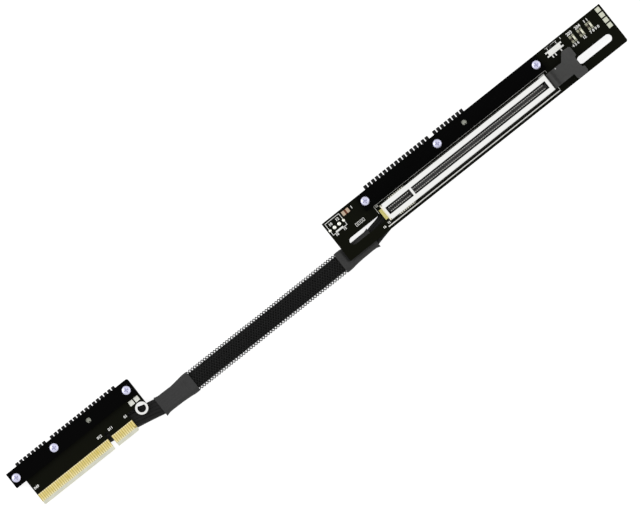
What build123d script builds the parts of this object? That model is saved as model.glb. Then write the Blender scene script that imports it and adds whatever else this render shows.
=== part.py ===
from build123d import *
import math
import os

# A riser for an expansion card, lying flat: a plug board with gold fingers at the
# low X end, a short sleeved cable, and a socket board with a long card slot at the
# high X end. X runs along the strip, Y across it towards the edge with the wire
# loops, Z up. The origin is the middle of the whole strip, on the surface it lies on.

# Lengths along the strip
plug_length = 65.75         # plug board with the ear beside its first screw
ear_length = 5.1
neck_gap = 3.6              # bare wires between the plug board and its shrink tube
shrink_length = 17.9
sleeve_length = 80.2
shrink_tuck = 13.9          # how far the cable reaches in behind the socket board
socket_end = 37.3           # board beyond the slot housing's far end

# Heights of the layers
board_thick = 1.6
cover_thick = 1.6
back_gap = 2.4              # between the back cover and the board, for the wires
front_gap = 1.0             # between the board and the front cover
pad_thick = 0.05

# Across the strip, measured from the socket board's lower edge
slot_margin = 2.95          # socket board beside the slot housing
slot_to_cover = 1.7
plug_top = 20.25
finger_edge = -0.25
cover_width = 7.55
socket_reach = 1.7          # how far the wire loops stand out of the board's edge
plug_reach = 1.25

# Cable
cable_line = 1.8            # the cable's middle, above the socket board's lower edge
core_width = 6.6
core_height = 3.0
core_mid = 2.0              # height of the wires' middle above the surface
sleeve_width = 9.4
sleeve_height = 4.7
sleeve_wall = 0.25
waist_width = 8.65
waist_height = 3.8
flare_width = 9.9
flare_run = 1.6             # from the tube's flared mouth towards its waist
waist_end = 9.0             # where the tube starts to widen, from its mouth
swell_end = 15.4
swell = 0.6                 # by which its far end is wider than the sleeve

# Wire loops: flat shielded pairs that fold over the board's edge
wire_width = 1.66
wire_thick = 0.7
wire_spacing = 2.083
near_wires = 17             # between the middle screw and the cable
far_wires = 8
wire_bend = 0.8             # cut corner of the loop
wire_least_flat = 0.05      # what a short loop keeps straight before its corner
wire_inset = 1.9            # how far the soldered ends reach in over the front

# Screws with their threaded standoffs
screw_radius = 1.0
screw_clear = 0.1
screw_end = 0.15            # how far the screw's tip stays inside the back cover
head_radius = 1.95
head_height = 1.3
head_bevel = 0.45
cross_width = 0.5
cross_length = 2.3
cross_depth = 0.7
standoff_flats = 2.4        # hexagonal part between the back cover and the board
flange_radius = 1.9
flange_clear = 0.02
thread_clear = 0.02
shim_width = 2.2            # strip that holds the front cover off the board
screw_depth = 3.83          # screw line below the board's looped edge
window_radius = 1.15
window_overlap = 0.15       # how far the tinned spot reaches under the window's rim
window_notch = 0.5          # bare nick in the spot
plug_first_screw = 2.6
plug_mid_screw = 42.6       # from the plug board's cable end
plug_last_screw = 3.35
cover_start = 18.35         # socket cover, from the socket board's cable end
cover_past_slot = 2.6       # and beyond the slot housing's far end
socket_first_screw = 2.35   # from the cover's cable end
socket_mid_screw = 41.6
socket_last_screw = 2.45    # from the cover's far end
plug_window_wire = 9        # which loop passes under the cover's window
socket_window_wire = 7

# Card edge
pin_spacing = 1.0
key_to_pin = 1.5            # from the middle of the key to the pins beside it
short_pins = 11
edge_pins = 49
finger_width = 0.7
finger_length = 3.7
short_finger = 2.75         # the presence pins, which touch last
front_presence = (1,)
back_presence = (17, 31, 48)
bevel_length = 1.6
bevel_depth = 0.45
notch_width = 1.9
notch_depth = 8.25
tongue_margin = 0.6
tongue_chamfer = 0.5
key_from_end = 21.45        # middle of the notch, from the plug board's cable end
step_height = 8.4           # lower edge of the board beside the tongue
ring_radius = 2.9
ring_hole = 1.85
ring_height = 6.4

# Card slot
slot_width = 7.8
slot_first = 3.3            # from the housing's cable end to the first contact
slot_last = 3.2             # from the last contact to the housing's far end
slot_height = 11.25
slot_start = 24.1           # from the socket board's cable end
slot_lift = 0.4             # the housing stands on end feet above its contacts
recess_width = 3.3
recess_floor = 2.0
recess_corner = 0.5
recess_start = 1.55
recess_end = 1.65
key_width = 1.2
lead_in = 0.15
housing_bevel = 0.2
slot_pin_count = 82
contact_width = 0.6
contact_thick = 0.2
tail_slot = 0.5
foot_reach = 0.55           # how far the solder feet show beside the housing
peg_radius = 0.8
peg_clear = 0.1

# Clip at the slot's cable end
clip_length = 1.4
clip_width = 5.0
clip_thick = 0.3
clip_height = 6.0

# Latch at the slot's far end
latch_gap = 0.3
latch_width = 7.3
latch_stem = 10.4
paddle_length = 5.75
paddle_width = 13.7
paddle_notch = 1.05
paddle_notch_width = 5.4
paddle_corner = 1.2
notch_corner = 0.5
latch_line = 6.7
paddle_line = 6.95
paddle_slant = 1.4           # run of the slope between the stem and the paddle's top
pivot_out = 2.7             # pivot, from the housing's end
pivot_height = 2.6
pivot_radius = 0.6
pivot_clear = 0.05
tongue_width = 2.8
tongue_clear = 0.25
tongue_radius = 1.5
cheek_radius = 1.9
hook_height = 9.0
hook_bevel = 0.6
hook_length = 2.2
hook_drop = 0.2             # by which the hook's top falls off outwards
hook_slope = 1.2            # run of its back down to the arm
hook_foot = 0.6             # and the height left for the arm's fillet
arm_height = 5.8
arm_thick = 1.5
paddle_rise = 0.9
arm_dip = 0.3               # underside of the arm, lower towards the pin

# Fixing slots
fixing_length = 18.0
fixing_width = 3.45
fixing_line = 6.05
fixing_first = 4.65         # start of the first slot, from the cable end
fixing_last = 4.4           # end of the last slot, from the far end
corner_radius = 0.9

# Slide switch
switch_x = 10.3             # middle, from the slot housing's far end
switch_line = 16.5
switch_length = 6.5
switch_width = 2.45
switch_height = 1.4
shell_wall = 0.2
shell_clear = 0.05
tab_length = 1.0
tab_width = 0.7
tab_inset = 0.35
lead_width = 0.5
lead_length = 1.3
lead_places = (-2.25, -0.75, 2.25)
knob_block = 2.4
knob_depth = 0.9
knob_height = 0.6
knob_floor = 0.35
knob_stem = 1.3
knob_reach = 1.5
knob_travel = 1.5
knob_clear = 0.08

# Small parts on the socket board
chip_places = (19.4, 23.7, 28.3)    # from the slot housing's far end
chip_spread = 1.45          # between the two chips of a pair
chip_line = 15.25
chip_width = 0.8
chip_length = 1.6
chip_height = 0.6
chip_end = 0.3
chip_pad_width = 1.05
chip_pad_length = 1.2
chip_pad_reach = 3.5
capacitor_x = 11.35
capacitor_line = 17.8
capacitor_length = 3.6
capacitor_width = 2.0
capacitor_height = 1.2
capacitor_end = 1.35
plug_pad = 2.2
test_pad = 2.1
test_pad_spacing = 2.74
test_pad_count = 4
test_pad_line = 10.0
test_pad_inset = 1.95
plug_pad_spacing = 2.8
plug_pad_line = 10.85
plug_pad_inset = 2.2
header_x = 4.8
header_line = 15.5
header_spacing = 2.54
header_pad_radius = 0.8
header_side = 7.3
header_side_radius = 0.65

# Wires gathered between the back cover and the shrink tube: places along the strip
# from the tube's mouth, or from the last wire, and heights above the board's edge
fan_top_points = ((3.6, 6.85), (8.2, 7.9))
fan_low_near = (12.6, 0.7)
fan_low_far = (25.1, 3.2)
fan_turn = (3.4, 3.6)
fan_spread = 1.15
fan_thin = 2.0              # how far before its end the fan has thinned to one wire

# Places worked out from the sizes above
key_start = slot_first + (short_pins - 1) * pin_spacing + key_to_pin
slot_length = (
    key_start + key_to_pin + (slot_pin_count - short_pins - 1) * pin_spacing + slot_last
)
socket_length = slot_start + slot_length + socket_end
cover_length = slot_start + slot_length + cover_past_slot - cover_start
slot_line = slot_margin + slot_width / 2
socket_width = slot_margin + slot_width + slot_to_cover + cover_width
overall = (
    plug_length + neck_gap + 2 * shrink_length + sleeve_length
    + socket_length - shrink_tuck
)
plug_left = -overall / 2
plug_right = plug_left + plug_length
mouth_plug = plug_right + neck_gap
sleeve_start = mouth_plug + shrink_length
sleeve_end = sleeve_start + sleeve_length
mouth_socket = sleeve_end + shrink_length
socket_left = mouth_socket - shrink_tuck
socket_right = socket_left + socket_length

datum = -(socket_width + socket_reach + cable_line - flare_width / 2) / 2
board_low = cover_thick + back_gap
board_top = board_low + board_thick
front_low = board_top + front_gap
front_top = front_low + cover_thick

socket_top_y = datum + socket_width
plug_top_y = datum + plug_top
cable_y = datum + cable_line
cover_left = socket_left + cover_start
cover_right = cover_left + cover_length

plug_screws = (
    plug_left + plug_first_screw,
    plug_right - plug_mid_screw,
    plug_right - plug_last_screw,
)
socket_screws = (
    cover_left + socket_first_screw,
    cover_left + socket_mid_screw,
    cover_right - socket_last_screw,
)
plug_window = plug_screws[1] + plug_window_wire * wire_spacing
socket_window = socket_screws[1] + socket_window_wire * wire_spacing
key_x = plug_right - key_from_end
slot_left = socket_left + slot_start
slot_right = slot_left + slot_length
slot_key = slot_left + key_start
slot_y = datum + slot_line
pivot_x = slot_right + pivot_out
pivot_z = board_top + pivot_height
latch_y = datum + latch_line


def slab(x_low, x_high, y_low, y_high, z_low, z_high):
    """A box between two corners."""
    size = (x_high - x_low, y_high - y_low, z_high - z_low)
    middle = ((x_low + x_high) / 2, (y_low + y_high) / 2, (z_low + z_high) / 2)
    return Pos(*middle) * Box(*size)


def patch(x_low, x_high, y_low, y_high):
    """A flat rectangle between two corners."""
    middle = Pos((x_low + x_high) / 2, (y_low + y_high) / 2)
    return middle * Rectangle(x_high - x_low, y_high - y_low)


def sheet(face, z_low, thick):
    """A flat outline raised to a plate."""
    return extrude(Pos(0, 0, z_low) * face, thick)


def post(x, y, radius, z_low, z_high):
    """An upright cylinder."""
    return Pos(x, y, (z_low + z_high) / 2) * Cylinder(radius, z_high - z_low)


def strip_outline(points, thick):
    """The outline of a bent strip: each centre point moved both ways along its mitre."""
    left, right = [], []
    for i, (a, b) in enumerate(points):
        before = points[max(i - 1, 0)]
        after = points[min(i + 1, len(points) - 1)]
        start = before if i else (a, b)
        end = after if i < len(points) - 1 else (a, b)
        into = unit(start, (a, b)) or unit((a, b), after)
        out = unit((a, b), end) or into
        across = (-(into[1] + out[1]) / 2, (into[0] + out[0]) / 2)
        stretch = thick / 2 / (across[0] ** 2 + across[1] ** 2)
        left.append((a + across[0] * stretch, b + across[1] * stretch))
        right.append((a - across[0] * stretch, b - across[1] * stretch))
    return make_face(Polyline(*left, *reversed(right), close=True))


def unit(start, end):
    """The direction from one point to another, or None where they are the same."""
    length = math.dist(start, end)
    if not length:
        return None
    return ((end[0] - start[0]) / length, (end[1] - start[1]) / length)


def bent_strip(points, thick, width, x):
    """A strip bent in the YZ plane, centred on x."""
    face = Plane.YZ.offset(x - width / 2) * strip_outline(points, thick)
    return extrude(face, width)


def plug_face():
    """Outline of the plug board: body, ear, tongue, key notch and ringed lug."""
    y_edge = datum + finger_edge
    y_step = datum + step_height
    y_ring = datum + ring_height
    x_body = plug_left + ear_length
    x_tongue = key_x + key_to_pin + (short_pins - 1) * pin_spacing + tongue_margin
    tongue = patch(x_body, x_tongue, y_edge, plug_top_y)
    low_corners = tongue.vertices().sort_by(Axis.Y)[:2]
    face = chamfer(low_corners, tongue_chamfer)
    upper = patch(x_body, plug_right, y_step, plug_top_y)
    far_corner = upper.vertices().sort_by(Axis.X)[-2:].sort_by(Axis.Y)[-1]
    face += fillet(far_corner, corner_radius)
    face += patch(plug_left, x_body, plug_top_y - cover_width, plug_top_y)
    ring_x = plug_right - ring_radius
    face += Pos(ring_x, y_ring) * Circle(ring_radius)
    face += patch(ring_x, plug_right, y_ring, y_step)
    notch_top = y_edge + notch_depth - notch_width / 2
    face -= patch(key_x - notch_width / 2, key_x + notch_width / 2, y_edge - 1, notch_top)
    face -= Pos(key_x, notch_top) * Circle(notch_width / 2)
    face -= Pos(ring_x, y_ring) * Circle(ring_hole)
    return face


def screw_holes(places, y, radius):
    """Round holes on the screw line."""
    return [Pos(x, y) * Circle(radius) for x in places]


def plug_board():
    """Laminate board with bevelled edges on both faces of its tongue."""
    face = plug_face()
    for hole in screw_holes(plug_screws, plug_top_y - screw_depth, screw_radius + screw_clear):
        face -= hole
    board = sheet(face, board_low, board_thick)
    y_edge = datum + finger_edge
    wedge = [(y_edge, 0), (y_edge + bevel_length, 0), (y_edge, -bevel_depth)]
    for z, side in ((board_top, 1), (board_low, -1)):
        outline = Polyline(*[(y, z + side * depth) for y, depth in wedge], close=True)
        cut = Plane.YZ.offset(plug_left) * make_face(outline)
        board -= extrude(cut, plug_length)
    return board


def pin_x(number):
    """Place of a card edge pin: number 1 is nearest the cable."""
    if number <= short_pins:
        return key_x + key_to_pin + (short_pins - number) * pin_spacing
    return key_x - key_to_pin - (number - short_pins - 1) * pin_spacing


def plug_fingers(z_low, presence):
    """Gold contact fingers on one face, the presence pins shorter than the rest."""
    start = datum + finger_edge + bevel_length
    fingers = []
    for number in range(1, edge_pins + 1):
        x = pin_x(number)
        end = start + finger_length
        low = end - short_finger if number in presence else start
        half = finger_width / 2
        fingers.append(slab(x - half, x + half, low, end, z_low, z_low + pad_thick))
    return Compound(fingers)


def cover(x_low, x_high, y_high, screws, window, radius, z_low):
    """A flat cover strip with screw holes and one round window."""
    face = patch(x_low, x_high, y_high - cover_width, y_high)
    corner = face.vertices().sort_by(Axis.X)[-2:].sort_by(Axis.Y)[-1]
    face = fillet(corner, corner_radius)
    for hole in screw_holes(screws, y_high - screw_depth, radius):
        face -= hole
    face -= Pos(window, y_high - screw_depth) * Circle(window_radius)
    return sheet(face, z_low, cover_thick)


def screws(places, y_high):
    """Round-head screws from the front, each with a cross recess."""
    made = []
    y = y_high - screw_depth
    for x in places:
        head = post(x, y, head_radius, front_top, front_top + head_height)
        head = chamfer(head.edges().group_by(Axis.Z)[-1], head_bevel)
        screw = head + post(x, y, screw_radius, screw_end, front_top)
        at = Pos(x, y, front_top + head_height)
        screw -= at * Box(cross_length, cross_width, 2 * cross_depth)
        screw -= at * Box(cross_width, cross_length, 2 * cross_depth)
        made.append(screw)
    return Compound(made)


def tube(x, y, outer, inner, z_low, z_high):
    """An upright sleeve."""
    face = Pos(x, y) * Circle(outer) - Pos(x, y) * Circle(inner)
    return sheet(face, z_low, z_high - z_low)


def standoffs(places, y_high):
    """Threaded standoffs: a flange flush in the back cover and a hexagon up to the board."""
    y = y_high - screw_depth
    made = []
    for x in places:
        bore = Pos(x, y) * Circle(screw_radius + thread_clear)
        flange = sheet(Pos(x, y) * Circle(flange_radius) - bore, 0, cover_thick)
        hexagon = RegularPolygon(standoff_flats / 2, 6, major_radius=False, rotation=30)
        hexagon = Pos(x, y) * hexagon
        made.append(flange + sheet(hexagon - bore, cover_thick, back_gap))
    return Compound(made)


def shim(x_low, x_high, y_high):
    """Strip under the front cover's inner edge, clear of the soldered wires."""
    y_low = y_high - cover_width
    return slab(x_low, x_high, y_low, y_low + shim_width, board_top, front_low)


def window_pads(x, y_high):
    """Tinned spots on both faces of the board under the covers' windows."""
    y = y_high - screw_depth
    radius = window_radius + window_overlap
    spot = Pos(x, y) * Circle(radius)
    nick = patch(x - window_notch / 2, x + window_notch / 2, y - radius, y - window_notch)
    front = sheet(spot - nick, board_top, pad_thick)
    half = wire_width / 2
    low = spot & patch(x - radius, x - half, y - radius, y + radius)
    high = spot & patch(x + half, x + radius, y - radius, y + radius)
    z = board_low - pad_thick
    return Compound([front, sheet(low, z, pad_thick), sheet(high, z, pad_thick)])


def wire_places(middle, side):
    """Loops on both sides of the middle screw; side points to the cable."""
    near = [middle + side * wire_spacing * k for k in range(1, near_wires + 1)]
    far = [middle - side * wire_spacing * k for k in range(1, far_wires + 1)]
    return sorted(near + far)


def wire_loops(middle, side, y_high, reach):
    """Flat wires from the front of the board round its edge to the back cover."""
    z_front = board_top + wire_thick / 2
    z_back = board_low - wire_thick / 2
    y_out = y_high + reach - wire_thick / 2
    bend = min(wire_bend, reach - wire_thick - wire_least_flat)
    path = [
        (y_high - wire_inset, z_front),
        (y_out - bend, z_front),
        (y_out, z_front - bend),
        (y_out, z_back + bend),
        (y_out - bend, z_back),
        (y_high - cover_width, z_back),
    ]
    one = bent_strip(path, wire_thick, wire_width, 0)
    return Compound([Pos(x, 0, 0) * one for x in wire_places(middle, side)])


def wire_fan(mouth, side, middle, y_high):
    """The wires gathered from the back cover into the shrink tube's mouth."""
    y_cover = y_high - cover_width
    near = abs(middle + side * wire_spacing * near_wires - mouth) - wire_width / 2
    far = abs(middle - side * wire_spacing * far_wires - mouth) + wire_width / 2
    mouth_low = (0, cable_y - core_width / 2 - fan_spread / 4)
    mouth_top = (0, cable_y + core_width / 2 + fan_spread)
    low_edge = Spline(
        (far, y_cover),
        (far - fan_turn[0], y_cover - fan_turn[1]),
        (far - fan_low_far[0], datum + fan_low_far[1]),
        (fan_low_near[0], datum + fan_low_near[1]),
        mouth_low,
    )
    top_points = [(along, datum + height) for along, height in fan_top_points]
    top_edge = Spline(mouth_top, *top_points, (near, y_cover))
    mouth_line = Line(mouth_low, mouth_top)
    cover_line = Line((near, y_cover), (far, y_cover))
    face = make_face([low_edge, mouth_line, top_edge, cover_line])
    z_top = board_low - 2 * pad_thick
    z_low = core_mid - core_height / 2 - 0.2
    solid = sheet(face, z_low, z_top - z_low)
    thin_end = z_top - wire_thick
    slope = Polyline(
        (near, z_low), (far - fan_thin, thin_end), (far + 1, thin_end), (far + 1, z_low - 1),
        (near, z_low - 1), close=True,
    )
    cut = extrude(Plane.XZ.offset(-y_high) * make_face(slope), 4 * socket_width)
    solid -= cut
    if side > 0:
        solid = mirror(solid, Plane.YZ)
    return Pos(mouth, 0, 0) * solid


def shrink_tube(mouth, side):
    """Shrunk tubing: flared mouth, flat waist, and a wide end over the sleeve."""
    stations = (
        (0, flare_width, waist_height + 0.1),
        (flare_run, waist_width + 0.2, waist_height),
        (2 * flare_run, waist_width, waist_height),
        (waist_end, waist_width, waist_height),
        (shrink_tuck, sleeve_width + swell / 3, waist_height),
        (swell_end, sleeve_width + swell, sleeve_height),
        (shrink_length, sleeve_width + swell, sleeve_height),
    )
    sections = []
    for along, width, height in stations:
        plane = Plane.YZ.offset(mouth + side * along)
        round_end = min(height * 0.49, width * 0.49)
        outline = RectangleRounded(width, height, round_end)
        sections.append(plane * Pos(cable_y, height / 2) * outline)
    body = loft(sections, ruled=True)
    return body - core(mouth, mouth + side * shrink_length)


def core(x_one, x_two):
    """The bundle of wires as one flat oval bar."""
    low, high = min(x_one, x_two), max(x_one, x_two)
    outline = RectangleRounded(core_width, core_height, core_height * 0.49)
    face = Plane.YZ.offset(low) * Pos(cable_y, core_mid) * outline
    return extrude(face, high - low)


def sleeve():
    """Braided sleeve over the straight stretch, kept here as a plain oval tube."""
    wall = 2 * sleeve_wall
    outer = RectangleRounded(sleeve_width, sleeve_height, sleeve_height * 0.49)
    inner_height = sleeve_height - wall
    inner = RectangleRounded(sleeve_width - wall, inner_height, inner_height * 0.49)
    face = Plane.YZ.offset(sleeve_start) * Pos(cable_y, sleeve_height / 2) * (outer - inner)
    tube_solid = extrude(face, sleeve_length)
    print("sleeve volume", tube_solid.volume, "section by length", face.area * sleeve_length)
    return tube_solid


def slot_shape(x_low, x_high, y, width):
    """A slot with round ends."""
    middle = Pos((x_low + x_high) / 2, y)
    return middle * SlotOverall(x_high - x_low, width)


def socket_board():
    """Laminate board with two long fixing slots, screw holes and peg holes."""
    face = patch(socket_left, socket_right, datum, socket_top_y)
    corner = face.vertices().sort_by(Axis.X)[-2:].sort_by(Axis.Y)[0]
    face = fillet(corner, corner_radius)
    y = datum + fixing_line
    first = socket_left + fixing_first
    last = socket_right - fixing_last
    face -= slot_shape(first, first + fixing_length, y, fixing_width)
    face -= slot_shape(last - fixing_length, last, y, fixing_width)
    for hole in screw_holes(
        socket_screws, socket_top_y - screw_depth, screw_radius + screw_clear
    ):
        face -= hole
    for x in peg_places():
        face -= Pos(x, slot_y) * Circle(peg_radius + peg_clear)
    return sheet(face, board_low, board_thick)


def peg_places():
    """The housing's two locating pegs: under the key and under the far wall."""
    return (slot_key, slot_right - recess_end / 2)


def slot_housing():
    """Moulded card slot: two channels each side of the key, feet, pegs and a tongue."""
    z_foot = board_top
    z_low = board_top + slot_lift
    z_high = board_top + slot_height
    half = slot_width / 2
    body = slab(slot_left, slot_right, slot_y - half, slot_y + half, z_low, z_high)
    body = chamfer(body.edges().group_by(Axis.Z)[-1], housing_bevel)
    foot_half = recess_width / 2 - tail_slot - contact_thick
    body += slab(
        slot_left, slot_right, slot_y - foot_half, slot_y + foot_half, z_foot, z_low
    )
    key_half = key_width / 2
    channels = (
        (slot_left + recess_start, slot_key - key_half),
        (slot_key + key_half, slot_right - recess_end),
    )
    wide = recess_width / 2
    for x_low, x_high in channels:
        channel = slab(
            x_low, x_high, slot_y - wide, slot_y + wide, board_top + recess_floor, z_high
        )
        body -= fillet(channel.edges().filter_by(Axis.Z), recess_corner)
        rim = patch(
            x_low - lead_in, x_high + lead_in, slot_y - wide - lead_in, slot_y + wide + lead_in
        )
        body -= extrude(Pos(0, 0, z_high) * rim, -lead_in, taper=45)
        for side in (-1, 1):
            y_in = slot_y + side * (wide - tail_slot)
            y_out = slot_y + side * wide
            tail = slab(
                x_low, x_high, min(y_in, y_out), max(y_in, y_out), z_foot,
                board_top + recess_floor,
            )
            body -= tail
    for x in peg_places():
        body += post(x, slot_y, peg_radius, board_low + 0.3, z_low)
    return body + latch_tongue()


def latch_tongue():
    """Tongue with a bore at the housing's end, which carries the latch's pin."""
    half = tongue_width / 2
    side = patch(slot_right - 0.5, pivot_x, board_top, pivot_z + tongue_radius)
    side += Pos(pivot_x, pivot_z) * Circle(tongue_radius)
    side -= Pos(pivot_x, pivot_z) * Circle(pivot_radius)
    return extrude(Plane.XZ.offset(-latch_y) * side, half, both=True)


def slot_pin_places():
    """Contact places along the slot, pin 1 nearest the cable."""
    first = [slot_key - key_to_pin - pin_spacing * k for k in range(short_pins)]
    rest = range(slot_pin_count - short_pins)
    return sorted(first) + [slot_key + key_to_pin + pin_spacing * k for k in rest]


def slot_contacts(side):
    """One row of spring contacts: solder foot, riser, inward bow and flared tip."""
    half = contact_thick / 2
    tail = recess_width / 2 - tail_slot / 2
    outline = (
        (slot_width / 2 + foot_reach, half),
        (tail, half),
        (tail, recess_floor + 0.6),
        (tail - 0.62, slot_height - 2.5),
        (tail - 0.1, slot_height - 0.9),
    )
    path = [(slot_y + side * y, board_top + z) for y, z in outline]
    one = bent_strip(path, contact_thick, contact_width, 0)
    return Compound([Pos(x, 0, 0) * one for x in slot_pin_places()])


def slot_clip():
    """Tinned solder clip that grips the housing's cable end."""
    x_low = slot_left - clip_length
    y_low, y_high = slot_y - clip_width / 2, slot_y + clip_width / 2
    foot = slab(x_low, slot_left, y_low, y_high, board_top, board_top + clip_thick)
    wall = slab(
        slot_left - clip_thick, slot_left, y_low, y_high, board_top, board_top + clip_height
    )
    return foot + wall


def latch_plan():
    """The latch from above: a stem with a wide paddle, notched at its outer edge."""
    start = slot_right + latch_gap
    x_paddle = slot_right + latch_stem
    x_end = x_paddle + paddle_length
    stem_low, stem_high = latch_y - latch_width / 2, latch_y + latch_width / 2
    paddle_y = datum + paddle_line
    low, high = paddle_y - paddle_width / 2, paddle_y + paddle_width / 2
    paddle = make_face(Polyline(
        (x_paddle - paddle_slant, stem_high), (x_paddle + paddle_slant, high), (x_end, high),
        (x_end, low), (x_paddle, low), (x_paddle, stem_low), close=True,
    ))
    corners = [v for v in paddle.vertices() if v.Y > high - 0.1 or v.Y < low + 0.1]
    paddle = fillet(corners, paddle_corner)
    stem = patch(start, x_paddle + 1, stem_low, stem_high)
    notch_y = datum + fixing_line
    half = paddle_notch_width / 2
    notch = patch(x_end - paddle_notch, x_end + 1, notch_y - half, notch_y + half)
    notch = fillet(notch.vertices().sort_by(Axis.X)[:2], notch_corner)
    plan = stem + paddle - notch
    rims = [
        v for v in plan.vertices()
        if abs(v.X - x_end) < 0.01 and abs(abs(v.Y - notch_y) - half) < 0.01
    ]
    return fillet(rims, notch_corner)


def latch_side():
    """The latch from the side: cheeks round the pin, a hook tower and a raised arm."""
    start = slot_right + latch_gap
    x_paddle = slot_right + latch_stem
    x_end = x_paddle + paddle_length
    z_arm = board_top + arm_height
    outline = Polyline(
        (start, pivot_z),
        (start, board_top + hook_height - hook_bevel),
        (start + hook_bevel, board_top + hook_height),
        (start + hook_length, board_top + hook_height - hook_drop),
        (start + hook_length + hook_slope, z_arm + hook_foot),
        (x_paddle, z_arm),
        (x_end, z_arm + paddle_rise),
        (x_end, z_arm + paddle_rise - arm_thick),
        (x_paddle, z_arm - arm_thick),
        (pivot_x + cheek_radius, z_arm - arm_thick - arm_dip),
        (pivot_x + cheek_radius, pivot_z),
        close=True,
    )
    face = make_face(outline) + Pos(pivot_x, pivot_z) * Circle(cheek_radius)
    face -= Pos(pivot_x, pivot_z) * Circle(pivot_radius + pivot_clear)
    return face


def slot_latch():
    """The card latch: its side view and its plan cut out of each other."""
    side = extrude(Plane.XZ.offset(-latch_y) * latch_side(), paddle_width, both=True)
    plan = sheet(latch_plan(), board_top, hook_height + 1)
    latch = side & plan
    half = tongue_width / 2 + tongue_clear
    room = slab(
        slot_right, pivot_x + cheek_radius + tongue_clear, latch_y - half, latch_y + half,
        board_top, pivot_z + tongue_radius + tongue_clear,
    )
    return latch - room


def latch_pin():
    """Steel pin through the latch's cheeks and the housing's tongue."""
    pin = Cylinder(pivot_radius, latch_width - 0.2)
    return Pos(pivot_x, latch_y, pivot_z) * (Rot(90, 0, 0) * pin)


def switch_shell():
    """Folded steel shell of the slide switch, with four solder tabs."""
    x, y = slot_right + switch_x, datum + switch_line
    half_x, half_y = switch_length / 2, switch_width / 2
    z_low, z_high = board_top, board_top + switch_height
    wall = shell_wall
    shell = slab(x - half_x, x + half_x, y - half_y, y + half_y, z_low, z_high)
    shell = fillet(shell.edges().filter_by(Axis.Z), 0.15)
    shell -= slab(
        x - half_x + wall, x + half_x - wall, y - half_y + wall, y + half_y - wall,
        z_low, z_high - wall,
    )
    room = (knob_block + knob_travel) / 2
    floor = board_top + knob_floor
    shell -= slab(x - room, x + room, y, y + half_y + 1, floor, floor + knob_height + 0.2)
    shell -= slab(x - half_x + 0.6, x + half_x - 0.6, y - half_y - 1, y, z_low, z_low + 0.4)
    for side_x in (-1, 1):
        for side_y in (-1, 1):
            near, far = x + side_x * (half_x - wall), x + side_x * (half_x + tab_length)
            mid = y + side_y * (half_y - tab_inset)
            shell += slab(
                min(near, far), max(near, far), mid - tab_width / 2, mid + tab_width / 2,
                z_low, z_low + wall,
            )
    return shell


def switch_pocket(x, y, room):
    """Space of the sliding block, open to the side and to the shell above."""
    y_high = y + switch_width / 2
    floor = board_top + knob_floor
    return slab(
        x - room, x + room, y_high - shell_wall - knob_depth - knob_clear, y_high,
        floor, board_top + switch_height,
    )


def switch_base():
    """Moulded base of the slide switch, with the channel its slider runs in."""
    x, y = slot_right + switch_x, datum + switch_line
    half_x = switch_length / 2 - shell_wall - shell_clear
    half_y = switch_width / 2 - shell_wall - shell_clear
    z_high = board_top + switch_height - shell_wall - shell_clear
    base = slab(x - half_x, x + half_x, y - half_y, y + half_y, board_top, z_high)
    return base - switch_pocket(x, y, (knob_block + knob_travel) / 2 + knob_clear)


def switch_knob():
    """The slider: a block in the channel and a stem out of the shell's side."""
    x = slot_right + switch_x - knob_travel / 2
    y_high = datum + switch_line + switch_width / 2
    z_low = board_top + knob_floor + knob_clear
    z_high = z_low + knob_height
    y_block = y_high - shell_wall - shell_clear
    block = slab(
        x - knob_block / 2, x + knob_block / 2, y_block - knob_depth + shell_clear, y_block,
        z_low, z_high,
    )
    stem = slab(
        x - knob_stem / 2, x + knob_stem / 2, y_block - 0.2, y_high + knob_reach,
        z_low, z_high,
    )
    return block + stem


def switch_leads():
    """Three tinned leads out of the switch's inner side."""
    x, y = slot_right + switch_x, datum + switch_line
    y_low = y - switch_width / 2
    half = lead_width / 2
    y_base = y_low + shell_wall + shell_clear
    return Compound([
        slab(
            x + place - half, x + place + half, y_low - lead_length, y_base,
            board_top, board_top + shell_wall,
        )
        for place in lead_places
    ])


def chip_body(x, y, width, length, height, end, axis_y, z_low):
    """A small block part without its two metal ends."""
    if axis_y:
        return slab(
            x - width / 2, x + width / 2, y - length / 2 + end, y + length / 2 - end,
            z_low, z_low + height,
        )
    return slab(
        x - length / 2 + end, x + length / 2 - end, y - width / 2, y + width / 2,
        z_low, z_low + height,
    )


def chip_ends(x, y, width, length, height, end, axis_y, z_low):
    """The two metal ends of a small block part."""
    ends = []
    for side in (-1, 1):
        mid = side * (length / 2 - end / 2)
        if axis_y:
            at, size = Pos(x, y + mid, z_low + height / 2), (width, end, height)
        else:
            at, size = Pos(x + mid, y, z_low + height / 2), (end, width, height)
        ends.append(at * Box(*size))
    return ends


def chip_row(offset):
    """The three like chips of the status pairs, as bodies and as ends."""
    bodies, ends = [], []
    for place in chip_places:
        x = slot_right + place + offset
        spot = (x, datum + chip_line, chip_width, chip_length, chip_height, chip_end, True)
        bodies.append(chip_body(*spot, board_top + pad_thick))
        ends.extend(chip_ends(*spot, board_top + pad_thick))
    return Compound(bodies), Compound(ends)


def chip_pads():
    """Tinned pads under the status chips."""
    pads = []
    for place in chip_places:
        for offset in (-chip_spread / 2, chip_spread / 2):
            for side in (-1, 1):
                x = slot_right + place + offset
                mid = datum + chip_line + side * (chip_pad_reach - chip_pad_length) / 2
                half_x, half_y = chip_pad_width / 2, chip_pad_length / 2
                pads.append(slab(
                    x - half_x, x + half_x, mid - half_y, mid + half_y,
                    board_top, board_top + pad_thick,
                ))
    return Compound(pads)


def capacitor_parts():
    """Ceramic capacitor beside the header place: its body and its two ends."""
    spot = (
        socket_left + capacitor_x, datum + capacitor_line, capacitor_width,
        capacitor_length, capacitor_height, capacitor_end, False, board_top,
    )
    return chip_body(*spot), Compound(chip_ends(*spot))


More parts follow.
